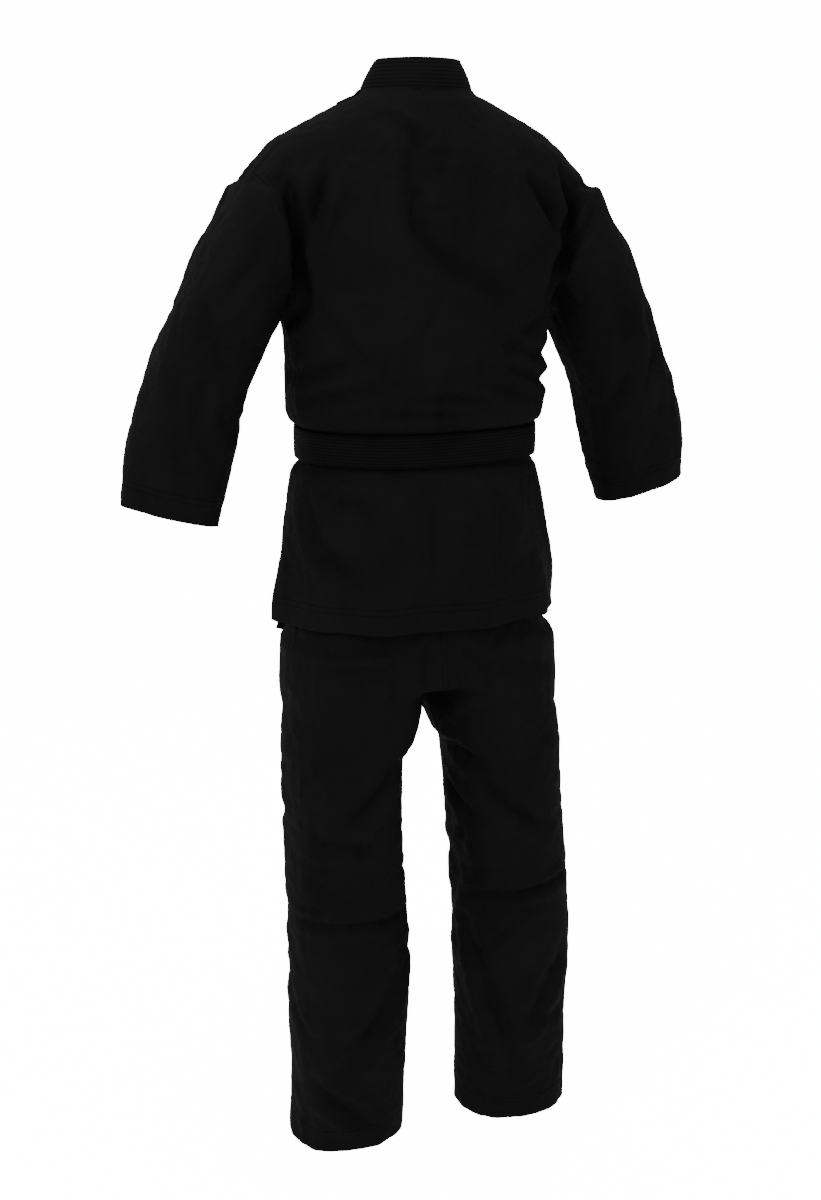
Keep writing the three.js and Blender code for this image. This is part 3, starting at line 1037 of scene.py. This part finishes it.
    def seam_gap(self, places: np.ndarray) -> np.ndarray:
        """Measure how far places are from the nearest sewn seam.

        Args:
            places: Places on the jacket, in metres.

        Returns:
            Each place's distance, in metres.
        """
        x, y, z = np.abs(places[:, 0]), places[:, 1], places[:, 2]
        hole = np.where(z > -0.27, np.abs(x - self.armhole_at(z)), 1)
        sewn = [hole, np.abs(z - self.hem - 0.030)]
        along = (x - self.cuff[0]) * math.sin(self.tilt) - (z - self.cuff[1]) * math.cos(self.tilt)
        sewn[1] = np.where(x > 0.23, np.abs(along + 0.030), sewn[1])
        sewn.append(np.where((z > self.vent) & (x < 0.24), np.abs(y), 1))
        return np.min(sewn, axis=0)

    def sleeves(
        self, skin: bpy.types.Object, arms: dict[Side, np.ndarray], cloth: bpy.types.Material
    ) -> None:
        """Make both sleeves.

        Args:
            skin: The cut skin.
            arms: True for each of the skin's faces that one side's sleeve has.
            cloth: The sleeves' material.
        """
        cut = Cut(0.51, 0.42, area=0.183)
        for side in Side:
            piece = part_of(f"{side.word}_sleeve_cloth", skin.data, arms[side])
            store(piece.data, "seam", self.seam_gap(vertex_array(piece.data)))
            finish_cloth(piece, cloth, cut, self.thickness, (f"{side.word}_sleeve",))
            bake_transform(piece)

    def panels(
        self,
        skin: bpy.types.Object,
        body: np.ndarray,
        x: np.ndarray,
        y: np.ndarray,
        z: np.ndarray,
        cloth: bpy.types.Material,
    ) -> None:
        """Make the back, the two crossed fronts and the lining of the shoulders.

        Args:
            skin: The cut skin.
            body: True for each of the skin's faces outside the sleeves.
            x: How far to the left each face's middle lies.
            y: How far back it lies.
            z: How high it lies.
            cloth: The panels' material.
        """
        lining = part_of("shoulder_lining_cloth", skin.data, body & (y > 0) & (z > -0.155))
        set_vertices(lining.data, vertex_array(lining.data) - normal_array(lining.data) * 0.0034)
        store(lining.data, "seam", np.full(len(lining.data.vertices), 1.0))
        cut = Cut(0.42, 0.22, "laid", 0.085)
        finish_cloth(lining, cloth, cut, 0.001, ("shoulder_lining",))
        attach(lining, "jacket")
        back = part_of("jacket_back_cloth", skin.data, body & (y > 0))
        places = vertex_array(back.data)
        drop = soft_step(-places[:, 2], -self.vent, -self.hem)
        rear = np.exp(-((places[:, 1] / 0.045) ** 2)) * drop
        out = np.sign(places[:, 0]) * rear * 0.010
        places[:, 0] += out
        set_vertices(back.data, places)
        store(back.data, "seam", self.seam_gap(places))
        nodes = ("jacket_back_panel", "left_underarm_gusset", "right_underarm_gusset")
        finish_cloth(back, cloth, Cut(0.52, 0.70, area=0.341), self.thickness, nodes)
        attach(back, "jacket")
        for side in Side:
            free = x * side.value > self.edge_at(z)
            front = part_of(f"{side.word}_front_cloth", skin.data, body & (y < 0) & free)
            places = vertex_array(front.data)
            if side is Side.RIGHT:
                middle = soft_step(-np.abs(places[:, 0]), -0.135, -0.115)
                places -= normal_array(front.data) * (middle * self.layer)[:, None]
            drop = soft_step(-places[:, 2], -self.vent, -self.hem)
            corner = np.exp(-((places[:, 1] / 0.045) ** 2)) * drop
            places[:, 1] += corner * 0.014
            places[:, 0] -= np.sign(places[:, 0]) * corner * 0.002
            set_vertices(front.data, places)
            store(front.data, "seam", self.seam_gap(places))
            node = f"jacket_{side.word}_front_panel"
            finish_cloth(front, cloth, Cut(0.36, 0.70, area=0.191), self.thickness, (node,))
            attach(front, "jacket")

    def bands(
        self,
        skin: bpy.types.Object,
        body: np.ndarray,
        x: np.ndarray,
        y: np.ndarray,
        z: np.ndarray,
        band: bpy.types.Material,
    ) -> None:
        """Make the lapel band on both fronts' edges and the collar round the neck.

        Args:
            skin: The cut skin.
            body: True for each of the skin's faces outside the sleeves.
            x: How far to the left each face's middle lies.
            y: How far back it lies.
            z: How high it lies.
            band: The band's material.
        """
        for side in Side:
            along = x * side.value
            chosen = body & (y < 0) & (along > self.edge_at(z)) & (along < self.edge_at(z, self.lapel))
            piece = part_of(f"{side.word}_lapel_cloth", skin.data, chosen)
            places = vertex_array(piece.data)
            lift = 0.0016 if side is Side.LEFT else 0.0016 - self.layer
            here = places[:, 0] * side.value - self.edge_at(places[:, 2])
            wide = self.edge_at(places[:, 2], self.lapel) - self.edge_at(places[:, 2])
            share = np.clip(here / wide, 0, 1)
            set_vertices(piece.data, places + normal_array(piece.data) * lift)
            store(piece.data, "across", share)
            finish_cloth(
                piece,
                band,
                Cut(self.lapel, 0.78, "laid"),
                0.0016,
                (f"{side.word}_lapel_band",),
            )
            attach(piece, "jacket")
        self.collar(band)

    def collar(self, band: bpy.types.Material) -> None:
        """Make the collar: the lapel band standing round the back of the neck.

        Args:
            band: The collar's material.
        """
        low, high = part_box("collar_band")
        turns = np.linspace(math.radians(-38), math.radians(218), 110)
        rows = 10
        points = []
        for turn in turns:
            c, s = math.cos(turn), math.sin(turn)
            power = 2 / 2.3
            unit = np.array([math.copysign(abs(c) ** power, c), math.copysign(abs(s) ** power, s)])
            sag = 0.006 * soft_step(np.array(-s), -0.2, 0.7)
            for k in range(rows + 1):
                up = k / rows
                wide = high.x + 0.0025 - (high.x - 0.050) * up
                deep = high.y + 0.0030 - (high.y - 0.052) * up
                bow = 0.002 * math.sin(math.pi * up)
                height = low.z - 0.006 + (high.z - low.z + 0.006) * up - sag * up
                wave = 0.0012 * math.sin(turn * 5) * up
                points.append((unit[0] * (wide + bow + wave), unit[1] * (deep + bow + wave), height))
        step = rows + 1
        faces = [
            (i * step + k, (i + 1) * step + k, (i + 1) * step + k + 1, i * step + k + 1)
            for i in range(len(turns) - 1)
            for k in range(rows)
        ]
        piece = new_object("collar_cloth", points, faces)
        turn_collar(piece)
        store(piece.data, "across", np.tile(np.linspace(0, 1, rows + 1), len(turns)))
        cut = Cut(0.30, 0.045, "folded")
        finish_cloth(piece, band, cut, 0.0035, ("collar_band",))
        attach(piece, "jacket")

    def small_pieces(
        self,
        skin: bpy.types.Object,
        body: np.ndarray,
        x: np.ndarray,
        y: np.ndarray,
        z: np.ndarray,
        cloth: bpy.types.Material,
    ) -> None:
        """Make the inner and the outer tie at the sides of the waist.

        Args:
            skin: The cut skin.
            body: True for each of the skin's faces outside the sleeves.
            x: How far to the left each face's middle lies.
            y: How far back it lies.
            z: How high it lies.
            cloth: The ties' material.
        """
        level = body & (y < -0.002) & (z < -0.464) & (z > -0.476)
        ties = (("inner_tie", Side.LEFT, -0.0036, 0.11), ("outer_tie", Side.RIGHT, 0.0024, 0.155))
        for name, side, lift, length in ties:
            piece = part_of(f"{name}_cloth", skin.data, level & (x * side.value > 0.105))
            set_vertices(piece.data, vertex_array(piece.data) + normal_array(piece.data) * lift)
            store(piece.data, "seam", np.full(len(piece.data.vertices), 1.0))
            finish_cloth(piece, cloth, Cut(length, 0.012, "laid"), 0.0012, (name,))
            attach(piece, "jacket")


def sorted_box(a: tuple, b: tuple) -> tuple[tuple, tuple]:
    """Give two opposite corners as the lowest and the highest."""
    return tuple(map(min, a, b)), tuple(map(max, a, b))


def turn_collar(piece: bpy.types.Object) -> None:
    """Make the collar's faces look away from the neck."""
    face = piece.data.polygons[len(piece.data.polygons) // 2]
    if Vector(face.normal).dot(Vector(face.center)) < 0:
        piece.data.flip_normals()


def tilted_loft(rings: list[Ring], tilt: float, side: Side) -> tuple[list, list]:
    """Make a closed form whose ovals lean, on one side of the body.

    Args:
        rings: The ovals from the top down, for the left side.
        tilt: How far they lean, in radians.
        side: The side to make it on.

    Returns:
        Its vertices and faces.
    """
    level = [Ring(0, 0, r.y, r.width, r.depth) for r in rings]
    points, faces = closed_loft(level, 56)
    made = []
    for i, (x, y, _) in enumerate(points):
        ring = rings[i // 56]
        made.append(((ring.x + x * math.cos(tilt)) * side.value, y, ring.z + x * math.sin(tilt)))
    if side is Side.RIGHT:
        faces = [tuple(reversed(face)) for face in faces]
    return made, faces


# ---------------------------------------------------------------- the trousers


@dataclass(frozen=True)
class Trousers:
    """The trousers: two legs, each one cloth from waistband to hem, and the waistband."""

    voxel: float = 0.0075
    thickness: float = 0.0018
    top: float = -0.412
    band_low: float = -0.450
    crotch: float = -0.748
    knee: float = -1.096
    hem: float = -1.408
    sway: float = -0.005
    hips: tuple[Ring, ...] = (
        Ring(-0.400, 0, 0, 0.1472, 0.0972),
        Ring(-0.450, 0, 0, 0.1472, 0.0972),
        Ring(-0.497, 0, 0, 0.154, 0.102),
        Ring(-0.5805, 0, 0, 0.169, 0.112),
        Ring(-0.664, 0, 0, 0.173, 0.116),
        Ring(-0.700, 0, 0, 0.185, 0.118),
        Ring(-0.748, 0, 0.012, 0.191, 0.112),
    )
    leg: tuple[Ring, ...] = (
        Ring(-0.694, 0.096, 0.006, 0.092, 0.110),
        Ring(-0.748, 0.0955, 0.012, 0.094, 0.112),
        Ring(-0.790, 0.0965, 0.017, 0.0915, 0.108),
        Ring(-0.830, 0.106, 0.023, 0.0865, 0.1025),
        Ring(-0.864, 0.115, 0.028, 0.079, 0.098),
        Ring(-1.096, 0.119, 0.046, 0.081, 0.086),
        Ring(-1.252, 0.123, 0.050, 0.082, 0.080),
        Ring(-1.408, 0.126, 0.048, 0.080, 0.066),
        Ring(-1.440, 0.127, 0.048, 0.080, 0.066),
    )
    folds: tuple[Fold, ...] = (
        Fold(((12, 122, -660), (20, 122, -700), (28, 120, -745)), 7, 8),
        Fold(((155, 100, -715), (110, 112, -714), (65, 115, -720)), 6, 10),
        Fold(((-140, 100, -735), (-100, 112, -728), (-60, 115, -735)), 5, 10),
        Fold(((70, 115, -850), (100, 122, -888), (135, 125, -920)), 9, 11),
        Fold(((170, 105, -945), (135, 118, -948), (100, 125, -960)), 8, 10),
        Fold(((-35, 55, -850), (-45, 85, -858), (-60, 105, -870)), 8, 9),
        Fold(((-60, 105, -890), (-100, 118, -925), (-145, 125, -960)), 9, 10),
        Fold(((-40, 25, -910), (-42, 60, -925), (-50, 95, -945)), 7, 9),
        Fold(((50, 90, -1062), (120, 130, -1058), (195, 80, -1062)), 6, 6),
        Fold(((-50, 90, -1055), (-120, 130, -1047), (-195, 80, -1036)), 6, 6),
        Fold(((-45, 75, -1105), (-80, 120, -1235), (-115, 120, -1330)), 9, 12),
        Fold(((60, 105, -1120), (95, 128, -1200), (150, 118, -1290)), 7, 13),
        Fold(((175, 100, -1000), (150, 122, -1020), (110, 130, -1035)), 5, 9),
        Fold(((-170, 100, -1150), (-150, 118, -1200), (-125, 128, -1260)), 6, 11),
        Fold(((165, 90, -1300), (140, 110, -1340), (100, 115, -1375)), 6, 11),
    )

    def skin(self) -> bpy.types.Object:
        """Grow both legs and the seat as one closed skin, settle it, and fold it."""
        forms = [closed_loft(smooth_rings(self.hips), 64)]
        for side in Side:
            rings = []
            for r in self.leg:
                below = self.sway * float(soft_step(np.array(-r.z), 0.864, -self.knee))
                rings.append(Ring(r.z, r.x * side.value + below, r.y, r.width, r.depth))
            forms.append(closed_loft(smooth_rings(tuple(rings), 6), 56, 2.2))
        skin = grow_skin("trouser_skin", forms, self.voxel, 6)
        Settling(fullness=0.016).run(skin)
        divide = skin.modifiers.new("fine", "SUBSURF")
        divide.levels = 1
        apply_modifiers(skin)
        places, normals = vertex_array(skin.data), normal_array(skin.data)
        tree = BVHTree.FromPolygons([tuple(p) for p in places], [f.vertices[:] for f in skin.data.polygons])
        move = sum(fold.laid_on(tree).push(places) for fold in self.folds)
        move = move + ruffle(places, 0.005, 0.11, 23.0, (1, 1, 1.8))
        move = move + creases(places, 0.0035, 0.09, 41.0, (1.2, 1.2, 1.5))
        z = places[:, 2]
        worn = soft_step(-z, 0.66, 0.72)
        crotch = soft_step(np.abs(places[:, 0]), 0.004, 0.03) + soft_step(-z, 0.80, 0.84)
        set_vertices(skin.data, places + normals * (move * worn * np.clip(crotch, 0, 1))[:, None])
        return skin

    def build(self, cloth: bpy.types.Material, band: bpy.types.Material) -> None:
        """Make the legs and the waistband.

        Args:
            cloth: The material of the legs.
            band: The material of the waistband.
        """
        skin = self.skin()
        cut_all(
            skin.data,
            [
                [Plane((0, 0, self.top), (0, 0, 1), (-1, -1, -0.43), (1, 1, 0), CutAway.ABOVE)],
                [Plane((0, 0, self.hem), (0, 0, -1), (-1, -1, -1.5), (1, 1, -1.39), CutAway.ABOVE)],
                [Plane((0, 0, self.band_low), (0, 0, 1), (-1, -1, -0.47), (1, 1, -0.43))],
                [Plane((0, 0, 0), (1, 0, 0), (-0.03, -1, -0.85), (0.03, 1, 0))],
            ],
        )
        middles = face_middles(skin.data)
        x, z = middles[:, 0], middles[:, 2]
        waist = part_of("waistband_cloth", skin.data, z > self.band_low)
        height = vertex_array(waist.data)[:, 2] - self.band_low
        store(waist.data, "across", height / (self.top - self.band_low))
        finish_cloth(waist, band, Cut(0.81, 0.038, "gathered"), 0.003, ("trouser_waistband",))
        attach(waist, "jacket")
        under = (np.abs(x) < 0.035) & (z < -0.70) & (z > -0.768)
        gusset = part_of("crotch_gusset_cloth", skin.data, under)
        set_vertices(gusset.data, vertex_array(gusset.data) - normal_array(gusset.data) * 0.0032)
        store(gusset.data, "seam", np.full(len(gusset.data.vertices), 1.0))
        finish_cloth(gusset, cloth, Cut(0.10, 0.13, "stretched", 0.009), 0.0012, ("crotch_gusset",))
        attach(gusset, "jacket")
        for side in Side:
            chosen = (z < self.band_low) & (x * side.value > 0)
            piece = part_of(f"{side.word}_trouser_cloth", skin.data, chosen)
            places = vertex_array(piece.data)
            hem = np.abs(places[:, 2] - self.hem - 0.030)
            middle = np.where(places[:, 2] > self.crotch - 0.01, np.abs(places[:, 0]), 1)
            flank = np.where(np.abs(places[:, 0]) > 0.15, np.abs(places[:, 1] - 0.02), 1)
            store(piece.data, "seam", np.minimum(np.minimum(hem, middle), flank))
            nodes = (f"{side.word}_trouser_seat", f"{side.word}_trouser_leg")
            finish_cloth(piece, cloth, Cut(0.66, 0.96, area=0.514), self.thickness, nodes)
            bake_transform(piece)
        bpy.data.objects.remove(skin)


# ---------------------------------------------------------------- the belt


@dataclass(frozen=True)
class Belt:
    """The belt: two turns round the waist, the knot in front and its two tails."""

    squareness: float = 2.4
    thickness: float = 0.0030
    samples: int = 220

    def turn(
        self, name: str, node: str, length: float, wave: float, seed: float, made_of: bpy.types.Material
    ) -> None:
        """Make one turn of the belt.

        Args:
            name: The turn's name.
            node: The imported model's node that it stands for.
            length: The declared length of one turn.
            wave: How far its edge wanders up and down.
            seed: Where the wandering starts.
            made_of: Its material.
        """
        low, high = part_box(node)
        wide, deep = high.x - 0.0008, high.y - 0.0008
        turns = np.linspace(0, 2 * math.pi, self.samples, endpoint=False)
        power = 2 / self.squareness
        c, s = np.cos(turns), np.sin(turns)
        x = np.sign(c) * np.abs(c) ** power * wide
        y = np.sign(s) * np.abs(s) ** power * deep
        z = (low.z + high.z) / 2 + wave * (np.sin(turns * 2 + seed) + 0.6 * np.sin(turns * 5 + seed * 2))
        path = np.stack([x, y, z], 1)
        along = np.roll(path, -1, 0) - np.roll(path, 1, 0)
        along[:, 2] = 0
        out = np.stack([along[:, 1], -along[:, 0], np.zeros(len(along))], 1)
        out /= np.linalg.norm(out, axis=1)[:, None]
        up = np.tile([0.0, 0.0, 1.0], (len(path), 1))
        strip = sweep(name, path, up, out, high.z - low.z, True)
        face = strip.data.polygons[0]
        if Vector(face.normal).dot(Vector((face.center.x, face.center.y, 0))) < 0:
            strip.data.flip_normals()
        finish_cloth(strip, made_of, Cut(length, high.z - low.z, "laid"), self.thickness, (node,))
        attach(strip, "jacket")

    def tail(self, side: Side, made_of: bpy.types.Material) -> None:
        """Make one hanging tail.

        Args:
            side: The tail's side.
            made_of: Its material.
        """
        node = f"{side.word}_belt_tail"
        low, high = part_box(node)
        near = high.x if side is Side.RIGHT else low.x
        far = low.x if side is Side.RIGHT else high.x
        top = np.array([near + 0.021 * side.value, high.y - 0.0035, high.z])
        end = np.array([far - 0.019 * side.value, low.y + 0.002, low.z + 0.010])
        share = np.linspace(0, 1, 60)
        path = top + (end - top) * share[:, None]
        path[:, 0] += side.value * 0.006 * np.sin(np.pi * share)
        path[:, 1] -= 0.002 * np.sin(2 * np.pi * share)
        along = np.gradient(path, axis=0)
        along /= np.linalg.norm(along, axis=1)[:, None]
        front = np.tile([0.0, -1.0, 0.0], (len(path), 1))
        across = np.cross(along, front)
        across /= np.linalg.norm(across, axis=1)[:, None]
        strip = sweep(f"{node}_cloth", path, across, front, 0.040)
        turn_outwards(strip, Vector((0, -1, 0)))
        finish_cloth(strip, made_of, Cut(0.040, 0.30, "hung"), 0.0032, (node,))
        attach(strip, f"{side.word}_tail")

    def knot(self, made_of: bpy.types.Material) -> None:
        """Make the knot: one fold of belt over another.

        Args:
            made_of: Its material.
        """
        low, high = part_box("belt_knot")
        middle = (low + high) / 2
        half = (high - low) / 2
        parts = []
        for k, (lean, grow) in enumerate(((math.radians(38), 1.0), (math.radians(-32), 0.72))):
            turns = np.linspace(0, 2 * math.pi, 64, endpoint=False)
            run = np.array([math.cos(lean), 0, math.sin(lean)])
            side = np.array([-math.sin(lean), 0, math.cos(lean)])
            c, s = np.cos(turns), np.sin(turns)
            squashed = np.sign(c) * np.abs(c) ** 0.8
            path = np.array(middle) + (half.x * 0.80 * squashed)[:, None] * run
            path[:, 1] += (half.y * grow) * np.sign(s) * np.abs(s) ** 0.7
            along = np.roll(path, -1, 0) - np.roll(path, 1, 0)
            out = np.cross(along, np.tile(side, (len(path), 1)))
            out /= np.linalg.norm(out, axis=1)[:, None]
            across = np.tile(side, (len(path), 1))
            parts.append(sweep(f"knot_part_{k}", path, across, out, 0.030, True, 8, 0.001))
        for part in parts:
            face = part.data.polygons[0]
            if Vector(face.normal).dot(Vector(face.center) - middle) < 0:
                part.data.flip_normals()
        cut = Cut(0.12, 0.040, "folded")
        for part, name in zip(parts, ("belt_knot_cloth", "belt_knot_under")):
            part.name = name
            finish_cloth(part, made_of, cut, 0.0028, ("belt_knot",))
            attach(part, "jacket")

    def build(self, made_of: bpy.types.Material) -> None:
        """Make the whole belt.

        Args:
            made_of: Its material.
        """
        self.turn("belt_inner_turn_cloth", "belt_inner_turn", 0.88, 0.0011, 0.4, made_of)
        self.turn("belt_outer_turn_cloth", "belt_outer_turn", 0.90, 0.0009, 2.2, made_of)
        self.knot(made_of)
        for side in Side:
            self.tail(side, made_of)


# ---------------------------------------------------------------- the stage


@dataclass(frozen=True)
class Studio:
    """The white floor and sky, the soft lights and the camera."""

    floor: float = -1.478
    reach: float = 40.0
    white: float = 14.0
    camera_at: tuple[float, float, float] = (0.635, 1.875, -0.135)
    azimuth: float = math.radians(161.3)
    pitch: float = math.radians(14.7)
    lens: float = 45.06
    shift: float = -0.00375

    def build(self) -> None:
        """Make the stage."""
        self.ground()
        self.lights()
        self.camera()

    def ground(self) -> None:
        """Make a wide, round, white floor."""
        count = 96
        turns = [2 * math.pi * k / count for k in range(count)]
        points = [(self.reach * math.cos(t), self.reach * math.sin(t), self.floor) for t in turns]
        disc = new_object("floor", points, [tuple(range(count))])
        paint = bpy.data.materials.new("floor_paint")
        paint.use_nodes = True
        shader = paint.node_tree.nodes["Principled BSDF"]
        shader.inputs["Base Color"].default_value = (0.8, 0.8, 0.8, 1)
        shader.inputs["Roughness"].default_value = 1.0
        shader.inputs["Specular IOR Level"].default_value = 0.0
        shader.inputs["Emission Color"].default_value = (1, 1, 1, 1)
        self.whiten(paint.node_tree, shader.inputs["Emission Strength"], 0.62)
        disc.data.materials.append(paint)

    def whiten(self, tree: bpy.types.NodeTree, strength: bpy.types.NodeSocket, lit: float) -> None:
        """Make a surface or the sky look pure white, while it lights the cloth only gently.

        Args:
            tree: The node tree.
            strength: The socket that takes the strength.
            lit: The strength with which it lights other things.
        """
        path = tree.nodes.new("ShaderNodeLightPath")
        extra = math_node(tree, "MULTIPLY", path.outputs["Is Camera Ray"], self.white)
        tree.links.new(math_node(tree, "ADD", extra, lit), strength)

    def lights(self) -> None:
        """Make the key, the fill, the top light and the surrounding light."""
        placed = (
            ("key", (2.2, 1.9, 1.5), 88.0, 1.5),
            ("fill", (-2.4, 2.2, 0.6), 22.0, 2.0),
            ("top", (0.1, 0.3, 2.2), 42.0, 1.8),
        )
        for name, place, power, size in placed:
            light = bpy.data.lights.new(name, "AREA")
            light.energy = power
            light.size = size
            lamp = bpy.data.objects.new(name, light)
            lamp.location = place
            aim = Vector((0, 0, -0.6)) - Vector(place)
            lamp.rotation_euler = aim.to_track_quat("-Z", "Y").to_euler()
            bpy.context.scene.collection.objects.link(lamp)
        world = bpy.data.worlds.new("studio")
        world.use_nodes = True
        world.node_tree.nodes["Background"].inputs["Color"].default_value = (1, 1, 1, 1)
        self.whiten(world.node_tree, world.node_tree.nodes["Background"].inputs["Strength"], 1.02)
        bpy.context.scene.world = world

    def camera(self) -> None:
        """Make the camera."""
        data = bpy.data.cameras.new("camera")
        data.lens = self.lens
        data.sensor_width = 36
        data.shift_x = self.shift
        eye = bpy.data.objects.new("camera", data)
        bpy.context.scene.collection.objects.link(eye)
        level = math.cos(self.pitch)
        across, ahead = -math.sin(self.azimuth) * level, math.cos(self.azimuth) * level
        forward = Vector((across, ahead, -math.sin(self.pitch)))
        eye.location = self.camera_at
        eye.rotation_euler = forward.to_track_quat("-Z", "Y").to_euler()
        bpy.context.scene.camera = eye


def main() -> None:
    """Build the scene."""
    logging.basicConfig(level=logging.INFO, format="%(name)s: %(message)s")
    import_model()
    effects = Effects()
    drill = Cotton("black_drill").material(effects)
    band = Cotton("stitched_band", rows=9.0).material(effects)
    belt_dye, belt_faded = (0.0020, 0.0020, 0.0022), (0.0040, 0.0040, 0.0042)
    webbing = Cotton("belt_cotton", belt_dye, belt_faded, 0.8, rows=10.0).material(effects)
    Jacket().build(drill, band)
    Trousers().build(drill, band)
    Belt().build(webbing)
    Studio().build()


if __name__ == "__main__":
    main()
